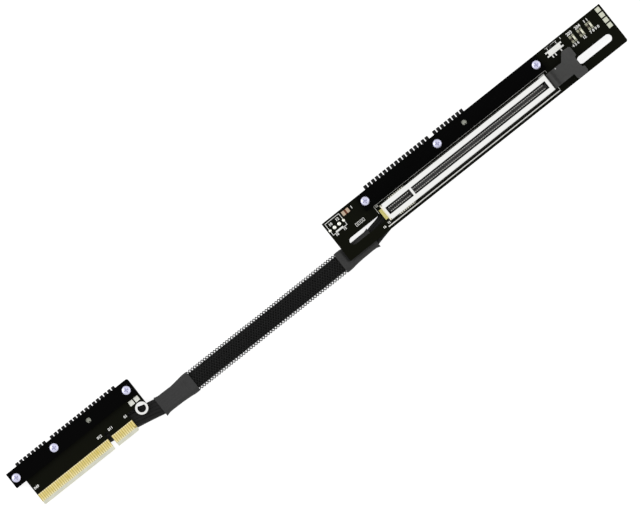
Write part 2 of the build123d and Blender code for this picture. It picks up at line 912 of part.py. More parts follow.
def header_pads():
    """Two soldered pads of the unused header and a round spot at each side."""
    y = datum + header_line
    middle = socket_left + header_x
    spots = (
        (middle - header_side / 2, header_side_radius),
        (middle - header_spacing / 2, header_pad_radius),
        (middle + header_spacing / 2, header_pad_radius),
        (middle + header_side / 2, header_side_radius),
    )
    z_high = board_top + pad_thick
    return Compound([post(x, y, radius, board_top, z_high) for x, radius in spots])


def square_pads(places, y_values, size, z_low):
    """Square tinned pads."""
    half = size / 2
    return [
        slab(x - half, x + half, y - half, y + half, z_low, z_low + pad_thick)
        for x in places for y in y_values
    ]


def socket_test_pads():
    """A column of square pads at the far end of the socket board."""
    x = socket_right - test_pad_inset
    rows = [datum + test_pad_line + test_pad_spacing * k for k in range(test_pad_count)]
    return Compound(square_pads([x], rows, test_pad, board_top))


def plug_test_pads():
    """Two square pads by the ringed lug, on both faces."""
    first = plug_right - plug_pad_inset
    places = [first, first - plug_pad_spacing]
    y = [datum + plug_pad_line]
    back = board_low - pad_thick
    front = square_pads(places, y, plug_pad, board_top)
    return Compound(front + square_pads(places, y, plug_pad, back))


def ring_pad():
    """Tinned ring round the lug's hole."""
    x, y = plug_right - ring_radius, datum + ring_height
    return tube(x, y, ring_radius - 0.1, ring_hole, board_top, board_top + pad_thick)


def build():
    """All nodes by name."""
    hole = screw_radius + screw_clear
    flange_hole = flange_radius + flange_clear
    plug_cover = (plug_left, plug_right, plug_top_y, plug_screws, plug_window)
    socket_cover = (cover_left, cover_right, socket_top_y, socket_screws, socket_window)
    leds, led_ends = chip_row(-chip_spread / 2)
    resistors, resistor_ends = chip_row(chip_spread / 2)
    capacitor, capacitor_ends = capacitor_parts()
    return {
        "plug_board": plug_board(),
        "plug_fingers_front": plug_fingers(board_top, front_presence),
        "plug_fingers_back": plug_fingers(board_low - pad_thick, back_presence),
        "plug_front_cover": cover(*plug_cover, hole, front_low),
        "plug_back_cover": cover(*plug_cover, flange_hole, 0),
        "plug_screws": screws(plug_screws, plug_top_y),
        "plug_standoffs": standoffs(plug_screws, plug_top_y),
        "plug_shim": shim(plug_left, plug_right, plug_top_y),
        "plug_window_pads": window_pads(plug_window, plug_top_y),
        "plug_test_pads": plug_test_pads(),
        "plug_ring_pad": ring_pad(),
        "plug_wire_loops": wire_loops(plug_screws[1], 1, plug_top_y, plug_reach),
        "plug_wire_fan": wire_fan(mouth_plug, 1, plug_screws[1], plug_top_y),
        "plug_shrink_tube": shrink_tube(mouth_plug, 1),
        "cable_wires": core(mouth_plug, mouth_socket),
        "cable_sleeve": sleeve(),
        "socket_shrink_tube": shrink_tube(mouth_socket, -1),
        "socket_wire_fan": wire_fan(mouth_socket, -1, socket_screws[1], socket_top_y),
        "socket_wire_loops": wire_loops(socket_screws[1], -1, socket_top_y, socket_reach),
        "socket_board": socket_board(),
        "socket_front_cover": cover(*socket_cover, hole, front_low),
        "socket_back_cover": cover(*socket_cover, flange_hole, 0),
        "socket_screws": screws(socket_screws, socket_top_y),
        "socket_standoffs": standoffs(socket_screws, socket_top_y),
        "socket_shim": shim(cover_left, cover_right, socket_top_y),
        "socket_window_pads": window_pads(socket_window, socket_top_y),
        "slot_housing": slot_housing(),
        "slot_contacts_inner": slot_contacts(1),
        "slot_contacts_outer": slot_contacts(-1),
        "slot_clip": slot_clip(),
        "slot_latch": slot_latch(),
        "latch_pin": latch_pin(),
        "switch_shell": switch_shell(),
        "switch_base": switch_base(),
        "switch_knob": switch_knob(),
        "switch_leads": switch_leads(),
        "status_leds": leds,
        "status_led_ends": led_ends,
        "led_resistors": resistors,
        "led_resistor_ends": resistor_ends,
        "chip_pads": chip_pads(),
        "input_capacitor": capacitor,
        "input_capacitor_ends": capacitor_ends,
        "header_pads": header_pads(),
        "socket_test_pads": socket_test_pads(),
    }


os.makedirs("parts", exist_ok=True)
for name, shape in build().items():
    export_step(shape, f"parts/{name}.step")
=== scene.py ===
import bmesh
import bpy
import math
import numpy as np
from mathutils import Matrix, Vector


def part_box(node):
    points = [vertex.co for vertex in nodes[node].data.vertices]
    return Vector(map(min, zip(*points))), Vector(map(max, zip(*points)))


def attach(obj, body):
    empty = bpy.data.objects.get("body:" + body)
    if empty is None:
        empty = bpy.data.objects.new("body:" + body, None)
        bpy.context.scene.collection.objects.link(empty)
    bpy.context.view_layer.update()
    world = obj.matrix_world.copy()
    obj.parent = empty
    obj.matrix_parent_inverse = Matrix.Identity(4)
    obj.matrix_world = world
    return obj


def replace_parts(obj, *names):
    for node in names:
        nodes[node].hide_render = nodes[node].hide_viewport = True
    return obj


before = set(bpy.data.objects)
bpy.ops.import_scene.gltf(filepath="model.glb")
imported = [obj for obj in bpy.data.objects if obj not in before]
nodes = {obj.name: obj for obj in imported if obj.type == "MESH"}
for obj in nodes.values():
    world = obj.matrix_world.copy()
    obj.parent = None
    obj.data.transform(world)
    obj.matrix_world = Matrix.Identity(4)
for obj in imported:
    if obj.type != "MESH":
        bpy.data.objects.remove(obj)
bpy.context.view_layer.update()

# The two boards: glass laminate under a black solder mask. On the plug board the mask
# stops above the gold fingers, where the pale laminate and its bevelled edge lie bare.
mm = 0.001
mask_black, bare_laminate, bevel_pale = (13, 14, 4), (198, 180, 112), (241, 241, 222)
bare_line = -4.15 * mm                   # where the plug board's mask ends
bevel_line = -7.925 * mm                 # where its edge starts to be bevelled
lug_line = -104.0 * mm                   # beyond it the ringed lug is masked all over


def tone(red, green, blue):
    """A screen colour of 0 to 255 as linear values: ((c / 255 + 0.055) / 1.055)^2.4."""
    return tuple(((c / 255 + 0.055) / 1.055) ** 2.4 for c in (red, green, blue)) + (1.0,)


def node(tree, kind, inputs=None, **settings):
    """A shader node with its settings; an input that is a socket is linked to it."""
    made = tree.nodes.new(kind)
    for name, value in settings.items():
        setattr(made, name, value)
    for name, value in (inputs or {}).items():
        if isinstance(value, bpy.types.NodeSocket):
            tree.links.new(value, made.inputs[name])
        else:
            made.inputs[name].default_value = value
    return made


def reckon(tree, operation, *values):
    """The result of a Math node on numbers and sockets."""
    made = node(tree, "ShaderNodeMath", dict(enumerate(values)), operation=operation)
    return made.outputs[0]


def effect(name, inputs, outputs):
    """An empty shader node group with its named sockets, and its two end nodes."""
    group = bpy.data.node_groups.new(name, "ShaderNodeTree")
    for way, sockets in (("INPUT", inputs), ("OUTPUT", outputs)):
        for label, kind in sockets:
            group.interface.new_socket(label, in_out=way, socket_type="NodeSocket" + kind)
    return group, group.nodes.new("NodeGroupInput"), group.nodes.new("NodeGroupOutput")


# Grain: two noises, one about Size across that shades the colour and the gloss, and
# one eight times finer that lifts the surface by up to Height.
grain_group, given, result = effect(
    "surface_grain",
    (("Color", "Color"), ("Shade", "Float"), ("Size", "Float"), ("Height", "Float"),
     ("Gloss", "Float"), ("Spread", "Float")),
    (("Color", "Color"), ("Roughness", "Float"), ("Normal", "Vector")),
)
place = node(grain_group, "ShaderNodeTexCoord").outputs["Object"]
inverse = reckon(grain_group, "DIVIDE", 1.0, given.outputs["Size"])
scaled = node(grain_group, "ShaderNodeVectorMath", {0: place, "Scale": inverse},
              operation="SCALE").outputs[0]
broad = node(grain_group, "ShaderNodeTexNoise",
             {"Vector": scaled, "Scale": 1.0, "Detail": 3.0}).outputs[0]
fine = node(grain_group, "ShaderNodeTexNoise",
            {"Vector": scaled, "Scale": 8.0, "Detail": 2.0}).outputs[0]
darker = reckon(grain_group, "MULTIPLY", broad, given.outputs["Shade"])
value = reckon(grain_group, "SUBTRACT", 1.0, darker)
shaded = node(grain_group, "ShaderNodeHueSaturation",
              {"Color": given.outputs["Color"], "Value": value}).outputs[0]
drift = reckon(grain_group, "MULTIPLY_ADD", broad, given.outputs["Spread"],
               given.outputs["Gloss"])
lifted = node(grain_group, "ShaderNodeBump",
              {"Height": fine, "Strength": 1.0, "Distance": given.outputs["Height"]})
grain_group.links.new(shaded, result.inputs["Color"])
grain_group.links.new(drift, result.inputs["Roughness"])
grain_group.links.new(lifted.outputs[0], result.inputs["Normal"])


def finish(name, color, shade, size, height, gloss, spread, **constants):
    """A material: the grain group with its values feeds one Principled shader, whose
    other sockets are the constants. The colour is red, green and blue of 0 to 255."""
    material = bpy.data.materials.new(name)
    material.use_nodes = True
    tree = material.node_tree
    shader = tree.nodes["Principled BSDF"]
    for label, value in constants.items():
        shader.inputs[label.replace("_", " ")].default_value = value
    grain = node(
        tree, "ShaderNodeGroup",
        {"Color": tone(*color), "Shade": shade, "Size": size, "Height": height,
         "Gloss": gloss, "Spread": spread},
        node_tree=grain_group, name="grain",
    )
    tree.links.new(grain.outputs["Color"], shader.inputs["Base Color"])
    tree.links.new(grain.outputs["Roughness"], shader.inputs["Roughness"])
    tree.links.new(grain.outputs["Normal"], shader.inputs["Normal"])
    return material


def recolor(material, color):
    """Gives the material's grain a colour that changes over the surface."""
    tree = material.node_tree
    tree.links.new(color, tree.nodes["grain"].inputs["Color"])


def dress(material, *names):
    """Gives CAD nodes their material."""
    for name in names:
        nodes[name].data.materials.clear()
        nodes[name].data.materials.append(material)


def along(tree, axis):
    """The place's value on an axis."""
    where = node(tree, "ShaderNodeTexCoord").outputs["Object"]
    return node(tree, "ShaderNodeSeparateXYZ", {0: where}).outputs[axis]


def remap(tree, value, low, high, to_low, to_high):
    """The value, with low to high spread evenly over to_low to to_high and held there."""
    return node(
        tree, "ShaderNodeMapRange",
        {"Value": value, "From Min": low, "From Max": high, "To Min": to_low,
         "To Max": to_high},
    ).outputs[0]


def under(tree, value, limit, soft):
    """Mask that is 1 where the value is under the limit and 0 above it; it goes from one
    to the other over soft on each side."""
    return remap(tree, value, limit - soft, limit + soft, 1.0, 0.0)


def below(tree, axis, limit, soft):
    """Mask that is 1 where the place's axis value is under the limit, and 0 above it."""
    return under(tree, along(tree, axis), limit, soft)


def blend(tree, mask, base, top):
    """The base colour, or the top one where the mask is 1. Each is a socket, or red,
    green and blue of 0 to 255."""
    base, top = (tone(*c) if isinstance(c, tuple) else c for c in (base, top))
    return node(tree, "ShaderNodeMix", {"Factor": mask, 6: base, 7: top},
                data_type="RGBA").outputs[2]


board_finish = finish(
    "black_solder_mask", mask_black, shade=0.35, size=3 * mm, height=0.004 * mm,
    gloss=0.30, spread=0.10, Specular_IOR_Level=0.04,
)
dress(board_finish, "socket_board")

edge_finish = finish(
    "masked_and_bare_laminate", mask_black, shade=0.3, size=3 * mm, height=0.004 * mm,
    gloss=0.30, spread=0.12, Specular_IOR_Level=0.04,
)
tree = edge_finish.node_tree
bare = blend(tree, below(tree, "Y", bare_line, 0.02 * mm), mask_black, bare_laminate)
bevel = blend(tree, below(tree, "Y", bevel_line, 0.03 * mm), bare, bevel_pale)
tongue = blend(tree, below(tree, "X", lug_line, 0.02 * mm), mask_black, bevel)
recolor(edge_finish, tongue)
dress(edge_finish, "plug_board")

# The card edge: flat contact fingers of hard gold over nickel, rolled smooth, with
# faint wipe lines along Y from being plugged in.
gold, worn_gold = (212, 192, 102), (228, 223, 180)
streak_gold, crest_gold = (236, 224, 178), (240, 232, 196)
worn_line, crest_line = -7.2 * mm, -4.5 * mm     # pale below the first, above the second
wipes_per_metre = (9000, 250, 0)
gold_finish = finish(
    "hard_gold", gold, shade=0.10, size=1.2 * mm, height=0.002 * mm,
    gloss=0.34, spread=0.12, Metallic=1.0,
)
tree = gold_finish.node_tree
where = node(tree, "ShaderNodeTexCoord").outputs["Object"]
long_grain = node(tree, "ShaderNodeVectorMath", {0: where, 1: wipes_per_metre},
                  operation="MULTIPLY").outputs[0]
wipes = node(tree, "ShaderNodeTexNoise", {"Vector": long_grain, "Scale": 1.0}).outputs[0]
wiped = remap(tree, wipes, 0.35, 0.75, 0.30, 0.46)
tree.links.new(wiped, tree.nodes["Principled BSDF"].inputs["Roughness"])
worn = blend(tree, below(tree, "Y", worn_line, 0.7 * mm), gold, worn_gold)
streaked = blend(tree, remap(tree, wipes, 0.4, 0.62, 0.0, 0.6), worn, streak_gold)
crest = blend(tree, below(tree, "Y", crest_line, 0.12 * mm), crest_gold, streaked)
recolor(gold_finish, crest)
dress(gold_finish, "plug_fingers_front", "plug_fingers_back")

# The covers and the strips that space them: plain laminate under a thick black mask,
# screwed over the soldered wires on both faces.
cover_finish = finish(
    "thick_black_mask", (1, 1, 1), shade=0.3, size=2 * mm, height=0.003 * mm,
    gloss=0.42, spread=0.12, Specular_IOR_Level=0.02,
)
dress(cover_finish, "plug_front_cover", "plug_back_cover", "plug_shim",
      "socket_front_cover", "socket_back_cover", "socket_shim")

# Tinned pads: test pads, the ringed lug's pad, the chips' pads and the spots under the
# covers' round windows, all copper under a levelled coat of tin.
for name, color in (("plug_test_pads", (224, 225, 216)),
                    ("socket_test_pads", (206, 208, 190))):
    tin_finish = finish(
        f"{name}_tin", color, shade=0.24, size=0.5 * mm, height=0.03 * mm,
        gloss=0.42, spread=0.16, Metallic=0.7,
    )
    dress(tin_finish, name)
ring_finish = finish(
    "polished_tin", (238, 238, 236), shade=0.06, size=0.6 * mm, height=0.004 * mm,
    gloss=0.14, spread=0.06, Metallic=1.0,
)
dress(ring_finish, "plug_ring_pad")
chip_finish = finish(
    "dull_tin", (166, 166, 146), shade=0.25, size=0.4 * mm, height=0.02 * mm,
    gloss=0.45, spread=0.12, Metallic=0.3,
)
dress(chip_finish, "chip_pads")
window_finish = finish(
    "window_tin", (165, 167, 156), shade=0.35, size=0.4 * mm, height=0.02 * mm,
    gloss=0.16, spread=0.08, Metallic=1.0,
)
dress(window_finish, "plug_window_pads", "socket_window_pads")

# The screws: nickel plated steel pan heads with a pressed cross, threaded into
# standoffs whose flanges lie flush in the back covers.
middle_screw = {"plug": -138.025 * mm, "socket": 70.225 * mm}
head_low, head_height, head_radius = 8.2 * mm, 1.3 * mm, 1.95 * mm
rim_share = 0.22                         # how much of the head's height its rim has
cross_half, cross_reach, cross_depth, cross_slope = 0.24 * mm, 1.05 * mm, 0.5 * mm, 3
shank_radius, shank_low, tip_height = 1.0 * mm, 0.15 * mm, 0.1 * mm
thread_rise, thread_share = 0.4 * mm, 0.06
head_rings, shank_rings = 34, 60


def quads(rows, columns, turn_rows=False, turn_columns=False):
    """Corner numbers of a grid's cells: point (r, c) has number r * columns + c, and a
    grid that turns also joins its last row or column to its first."""
    r = np.arange(rows if turn_rows else rows - 1)[:, None]
    c = np.arange(columns if turn_columns else columns - 1)[None, :]
    r_next, c_next = (r + 1) % rows, (c + 1) % columns
    corners = (r * columns + c, r_next * columns + c, r_next * columns + c_next,
               r * columns + c_next)
    whole = np.broadcast(r, c).shape
    return np.stack([np.broadcast_to(x, whole).ravel() for x in corners], axis=1)


def piece(name, points, faces, material, body="riser", copies=1, smooth=True):
    """A closed mesh from a grid's points, repeated for each copy's block of points;
    points that fall together are merged and the faces are turned outwards."""
    points = np.asarray(points, float).reshape(-1, 3)
    first = np.arange(copies)[:, None, None] * (len(points) // copies)
    faces = (faces[None] + first).reshape(-1, faces.shape[1])
    mesh = bpy.data.meshes.new(name)
    mesh.from_pydata(points.tolist(), [], faces.tolist())
    shell = bmesh.new()
    shell.from_mesh(mesh)
    bmesh.ops.remove_doubles(shell, verts=shell.verts, dist=1e-7)
    bmesh.ops.recalc_face_normals(shell, faces=shell.faces)
    shell.to_mesh(mesh)
    shell.free()
    mesh.materials.append(material)
    shade = mesh.shade_smooth if smooth else mesh.shade_flat
    shade()
    made = bpy.data.objects.new(name, mesh)
    bpy.context.scene.collection.objects.link(made)
    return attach(made, body)


def screw_grid(sides=96):
    """One screw about the origin, as rings turned round: a pan of radius R sin(a)^0.85
    and height rim + rise cos(a)^0.45, whose cross sinks by slope times the way inside
    its outline and by its depth at most, the pan's flat underside, and a shank whose
    radius swells and narrows by cos(2 pi z / thread rise + angle)."""
    angle = np.linspace(0, 2 * math.pi, sides, endpoint=False)[None, :]
    swing = np.linspace(0, math.pi / 2, head_rings)[:, None]
    radius = head_radius * np.sin(swing) ** 0.85
    crown = rim_share + (1 - rim_share) * np.cos(swing) ** 0.45
    x, y = radius * np.cos(angle), radius * np.sin(angle)
    inside = np.maximum(np.minimum(cross_half - abs(x), cross_reach - abs(y)),
                        np.minimum(cross_half - abs(y), cross_reach - abs(x)))
    z = head_low + head_height * crown - np.clip(inside * cross_slope, 0, cross_depth)
    down = np.linspace(head_low, shank_low, shank_rings)[:, None]
    thread = np.cos(2 * math.pi * down / thread_rise + angle)
    shank = shank_radius * (1 + thread_share * (thread - 1))
    shank = shank * (down > shank_low + tip_height)
    radii = np.concatenate([np.full_like(angle, head_radius), shank])
    heights = np.concatenate([np.full_like(angle, head_low), down + 0 * angle])
    x = np.concatenate([x, radii * np.cos(angle)])
    y = np.concatenate([y, radii * np.sin(angle)])
    return np.stack([x, y, np.concatenate([z, heights])], axis=-1)


steel_finish = finish(
    "bright_nickel", (202, 202, 224), shade=0.10, size=0.6 * mm, height=0.004 * mm,
    gloss=0.36, spread=0.10, Metallic=1.0,
)
places = []
for board, middle_x in middle_screw.items():
    low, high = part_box(f"{board}_screws")
    places += [(x, (low.y + high.y) / 2, 0)
               for x in (low.x + head_radius, middle_x, high.x - head_radius)]
one = screw_grid()
screws = piece(
    "pan_head_screws", one[None] + np.array(places)[:, None, None, :],
    quads(*one.shape[:2], turn_columns=True), steel_finish, copies=len(places),
)
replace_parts(screws, "plug_screws", "socket_screws")
dress(steel_finish, "plug_standoffs", "socket_standoffs", "latch_pin")

# The flat wires: twenty-five shielded pairs on each board, soldered under the front
# cover, folded round the board's edge, and gathered behind the board into the cable.
near_wires, far_wires, layers = 17, 8, 5         # before and beyond the middle screw
wire_spacing = 2.083 * mm
wire_half, wire_thick = 0.83 * mm, 0.7 * mm
side_gap, face_gap = 0.03 * mm, 0.02 * mm        # between wires that lie together
pinch_depth, pinch_width = 0.22, 0.3             # shares of the thickness and the width
board_low, board_top = (corner.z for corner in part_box("socket_board"))
board_mid = (board_low + board_top) / 2
fold_radius = (board_top - board_low + wire_thick) / 2
solder_reach, bundle_reach = 1.9 * mm, 2.5 * mm
bundle_low, bundle_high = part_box("cable_wires")
cable_y, bundle_mid = (bundle_low.y + bundle_high.y) / 2, (bundle_low.z + bundle_high.z) / 2
layer_rise, column_step = 0.6 * mm, 1.32 * mm
mouth_step, mouth_shift = 1.58 * mm, 0.35 * mm     # looser where the wires gather
mouths = {"plug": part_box("plug_shrink_tube")[0].x,
          "socket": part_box("socket_shrink_tube")[1].x}
front_points, turn_points, back_points, fan_points = 3, 15, 3, 40
drop_start, drop_share, gather_start = 0.05, 0.85, 0.55     # on the way to the mouth
near_fan = ((10.7, -0.1), (9.0, -3.3), (4.6, -2.7), (0, -3.9))   # from the mouth, y in mm
far_fan = ((62, -1.6), (38, -2.6), (14, -7.0), (0, -10.2))


def wire_lines(board, side):
    """Middle lines of a board's wires: a straight run over the front, half a turn of
    the fold radius round the edge, a straight run over the back, and then a Bezier
    curve of the fourth order to the mouth, the sum of binomial(4, i) t^i (1-t)^(4-i)
    times its points, which go evenly from the nearest wire's to the farthest's. Its
    height follows a smooth step 3 e^2 - 2 e^3, and its end bends to its own place."""
    low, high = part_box(f"{board}_wire_loops")
    y_edge, y_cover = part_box(f"{board}_board")[1].y, low.y
    y_fold = high.y - wire_thick / 2 - fold_radius
    mouth = mouths[board]
    count = np.concatenate([-np.arange(1, far_wires + 1), np.arange(1, near_wires + 1)])
    x = np.sort(-(middle_screw[board] + side * wire_spacing * count) * side)[:, None]
    away = x + mouth * side
    share = (away - away[0]) / (away[-1] - away[0])
    turn = np.linspace(math.pi / 2, -math.pi / 2, turn_points)[None, :]
    front = np.linspace(y_edge - solder_reach, y_fold, front_points + 1)[None, :-1]
    back = np.linspace(y_fold, y_cover, back_points + 2)[None, 1:-1]
    y_run = np.concatenate([front, y_fold + fold_radius * np.cos(turn), back], axis=1)
    z_run = np.concatenate([
        0 * front + board_mid + fold_radius, board_mid + fold_radius * np.sin(turn),
        0 * back + board_mid - fold_radius], axis=1)
    t = np.linspace(0, 1, fan_points)[None, :]
    near, far = (np.array([(start / mm, y_cover / mm), *rest])
                 for start, rest in ((away[0, 0], near_fan), (away[-1, 0], far_fan)))
    weights = np.stack([
        math.comb(4, i) * t[0] ** i * (1 - t[0]) ** (4 - i) for i in range(5)])
    points = (1 - share)[:, :, None] * near + share[:, :, None] * far
    fan = np.einsum("it,wia->wta", weights, points) * mm
    number = np.arange(len(x))[:, None]
    column = layers // 2 - number // layers
    y_mouth = cable_y + mouth_shift + column * mouth_step
    z_mouth = bundle_mid + (layers // 2 - number % layers) * layer_rise
    ease = np.clip((t - drop_start) / drop_share, 0, 1)
    ease = ease * ease * (3 - 2 * ease)
    late = np.clip((t - gather_start) / (1 - gather_start), 0, 1) ** 2
    fan_y = fan[:, :, 1] + (y_mouth - fan[:, -1:, 1]) * late
    fan_z = (board_mid - fold_radius) * (1 - ease) + z_mouth * ease
    inward = np.linspace(0, -bundle_reach, 4)[None, 1:]
    y_inward = y_mouth + (cable_y + column * column_step - y_mouth) * inward / inward[0, -1]
    x = np.concatenate([away + 0 * y_run, fan[:, :, 0], inward + 0 * away], axis=1)
    y = np.concatenate([y_run + 0 * away, fan_y, y_inward], axis=1)
    z = np.concatenate([z_run + 0 * away, fan_z, 0 * inward + z_mouth], axis=1)
    return np.stack([mouth - side * x, y, z], axis=-1)


def ribbon_grid(lines, half_width, half_thick, sides=12):
    """Surface of flat wires: middle line + side vector * u + its normal * v, where
    (u, v) goes round a flattened oval that is pinched in its middle, and both ends
    close to a point. The side vector is level and square to the run in plan."""
    run = np.gradient(lines, axis=1)
    run /= np.linalg.norm(run, axis=2, keepdims=True)
    folded = np.arange(lines.shape[1]) <= front_points + turn_points + back_points
    heading = np.where(folded[None, :, None], np.array([0.0, -1.0]), run[..., :2])
    heading /= np.linalg.norm(heading, axis=2, keepdims=True)
    side = np.stack([-heading[..., 1], heading[..., 0], 0 * heading[..., 0]], axis=-1)
    normal = np.cross(run, side)
    angle = np.linspace(0, 2 * math.pi, sides, endpoint=False)
    u = half_width * np.sign(np.cos(angle)) * abs(np.cos(angle)) ** 0.7
    v = half_thick * np.sign(np.sin(angle)) * abs(np.sin(angle)) ** 0.7
    v = v * (1 - pinch_depth * np.exp(-((u / half_width / pinch_width) ** 2)))
    ring = side[:, :, None] * u[:, None] + normal[:, :, None] * v[:, None]
    ends = [np.repeat(lines[:, k:k + 1, None], sides, axis=2) for k in (0, -1)]
    return np.concatenate([ends[0], lines[:, :, None] + ring, ends[1]], axis=1)


wire_finish = finish(
    "satin_wire_jacket", (29, 29, 29), shade=0.25, size=2 * mm, height=0.006 * mm,
    gloss=0.44, spread=0.14, Specular_IOR_Level=0.1,
)
for name, side in (("plug", 1), ("socket", -1)):
    grid = ribbon_grid(wire_lines(name, side), wire_half - side_gap,
                       wire_thick / 2 - face_gap)
    wires = piece(
        f"{name}_flat_wires", grid, quads(*grid.shape[1:3], turn_columns=True),
        wire_finish, copies=len(grid),
    )
    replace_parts(wires, f"{name}_wire_loops", f"{name}_wire_fan")

# The cable: the wires of both boards run side by side in one flat bundle, five layers
# of five, inside a sleeve braided from black plastic filament, shrunk fast at its ends.
sleeve_start, sleeve_end = -73.925 * mm, 6.275 * mm
sleeve_width, sleeve_height = 9.4 * mm, 4.7 * mm
bundle_width, bundle_height, bundle_tail = 7.5 * mm, 3.0 * mm, 15 * mm
bundle_sides, bundle_rings, ripple_depth = 120, 140, 0.16 * mm
bundle_waves = ((0.08 * mm, 11 * mm), (0.05 * mm, 4.3 * mm))
route = (                                # x and z in mm
    (-73.925, 2.35), (-54.0, 2.35), (-34.0, 2.35), (-14.0, 2.35), (6.275, 2.35),
)


def spline_points(points):
    """Points along the smooth line whose control points are the route's."""
    line = bpy.data.curves.new("cable_route", "CURVE")
    line.dimensions = "3D"
    spline = line.splines.new("NURBS")
    spline.points.add(len(points) - 1)
    for made, (x, z) in zip(spline.points, points):
        made.co = (x * mm, cable_y, z * mm, 1)
    spline.order_u = 3
    spline.use_endpoint_u = True
    spline.resolution_u = 60
    holder = bpy.data.objects.new("cable_route", line)
    mesh = bpy.data.meshes.new_from_object(holder)
    found = np.array([v.co for v in mesh.vertices])
    bpy.data.objects.remove(holder)
    return found


def along_route(points, distance):
    """The route's point at each distance from its start, straight on beyond its ends."""
    steps = np.linalg.norm(np.diff(points, axis=0), axis=1)
    length = np.concatenate([[0], np.cumsum(steps)])
    inner = np.clip(distance, 0, length[-1])
    found = np.stack([np.interp(inner, length, points[:, k]) for k in range(3)], axis=-1)
    found[..., 0] += distance - inner
    return found, length[-1]


def walk(y, z, turns):
    """Point (across, up) and outward direction on a closed outline, walked at even
    speed for a number of turns from its first point."""
    walked = np.concatenate([[0], np.cumsum(np.hypot(np.diff(y), np.diff(z)))])
    share = np.mod(turns, 1.0) * walked[-1]
    run_y, run_z = (
        np.gradient(np.concatenate([v[-2:-1], v, v[1:2]]))[1:-1] for v in (y, z))
    size = np.hypot(run_y, run_z)
    return tuple(np.interp(share, walked, v) for v in (y, z, run_z / size, -run_y / size))


def oval(turns, width, height):
    """The walk on two half circles joined by straight runs, from the middle of a side."""
    angle = np.linspace(0, 2 * math.pi, 720)
    ends = np.clip(60 * np.cos(angle), -1, 1) * (width - height) / 2
    return walk(ends + height / 2 * np.cos(angle), height / 2 * np.sin(angle), turns)


def lens(turns, width, height):
    """The walk on a flattened sleeve, which stands height / 2 * (1 - (across / half)^2)
    above and below its middle and comes to a fold at each side."""
    angle = np.linspace(0, 2 * math.pi, 720)
    share = np.cos(angle)
    z = height / 2 * (1 - share ** 2) * np.sign(np.sin(angle))
    return walk(width / 2 * share, z, turns)


def waves(s, terms):
    """The sum of size * sin(s / length) over the terms."""
    return sum(size * np.sin(s / length) for size, length in terms)


cable_line = spline_points(route)
bundle_turns = np.linspace(0, 1, bundle_sides, endpoint=False)[None, :]
bundle_along = np.linspace(
    -bundle_tail, sleeve_end - sleeve_start + bundle_tail, bundle_rings)[:, None]
middle, cable_length = along_route(cable_line, bundle_along[:, 0])
y, z, out_y, out_z = oval(bundle_turns, bundle_width, bundle_height)
column = (y + waves(bundle_along, bundle_waves)) / column_step
ripple = ripple_depth * (abs(np.cos(math.pi * column)) - 1)
bundle = np.stack([
    middle[:, None, 0] + 0 * y, middle[:, None, 1] + y + out_y * ripple,
    bundle_mid + z + out_z * ripple + 0 * bundle_along], axis=-1)
caps = [np.broadcast_to(bundle[k].mean(0), bundle[k].shape) for k in (0, -1)]
bundle = np.concatenate([caps[0][None], bundle, caps[1][None]])
bundle_piece = piece("cable_wire_bundle", bundle,
                     quads(*bundle.shape[:2], turn_columns=True), wire_finish)
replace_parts(bundle_piece, "cable_wires")

# The sleeve: twelve flat strands wound each way, each over one and under the next, so
# its open diamonds show the light beside the bundle.
strand_count, strand_lay = 12, 16.08 * mm
strand_half, strand_thick, weave_lift = 0.19 * mm, 0.14 * mm, 0.08 * mm
strand_tail, swell, swell_length = 0.8 * mm, 0.04, 1.5 * mm
sleeve_waves = ((0.010, 9 * mm), (0.006, 3.7 * mm))
lens_width, lens_height = sleeve_width - 0.1 * mm, sleeve_height - 0.6 * mm
strand_outline = ((1, 0), (0.6, 1), (-0.6, 1), (-1, 0), (-0.6, -1), (0.6, -1))


def strand(start, hand, steps=489):
    """One strand as a ribbon on the lens: at distance s it stands at start + hand * s /
    lay turns, lifted by the weave as hand * cos(2 pi count s / lay), and its side
    vector is square to its own run and to the lens's outward direction. Clear of the
    tubes the sleeve swells, and its width follows its waves."""
    s = np.linspace(-strand_tail, cable_length + strand_tail, steps)
    turns = start + hand * s / strand_lay
    free = np.clip(np.minimum(s, cable_length - s) / swell_length, 0, 1)
    ease = 1 + swell * free + waves(s, sleeve_waves)
    y, z, out_y, out_z = lens(turns, lens_width, lens_height)
    middle, _ = along_route(cable_line, s)
    lift = hand * weave_lift * np.cos(2 * math.pi * strand_count * s / strand_lay)
    out = np.stack([0 * s, out_y, out_z], axis=-1)
    line = middle + np.stack([0 * s, y * ease, z], axis=-1) + out * lift[:, None]
    run = np.gradient(line, axis=0)
    run /= np.linalg.norm(run, axis=1, keepdims=True)
    side = np.cross(run, out)
    corners = np.array(strand_outline)
    ring = (side[:, None] * corners[:, :1] * strand_half
            + out[:, None] * corners[:, 1:] * strand_thick)
    grid = line[:, None] + ring
    ends = [np.repeat(line[k][None, None], len(corners), axis=1) for k in (0, -1)]
    return np.concatenate([ends[0], grid, ends[1]])


braid_finish = finish(
    "braided_filament", (24, 24, 24), shade=0.3, size=1.5 * mm, height=0.003 * mm,
    gloss=0.40, spread=0.10, Specular_IOR_Level=0.12,
)
strands = np.stack([
    strand(k / strand_count, hand) for hand in (1, -1) for k in range(strand_count)])
sleeve = piece("braided_sleeve", strands, quads(*strands.shape[1:3], turn_columns=True),
               braid_finish, copies=len(strands))
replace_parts(sleeve, "cable_sleeve")

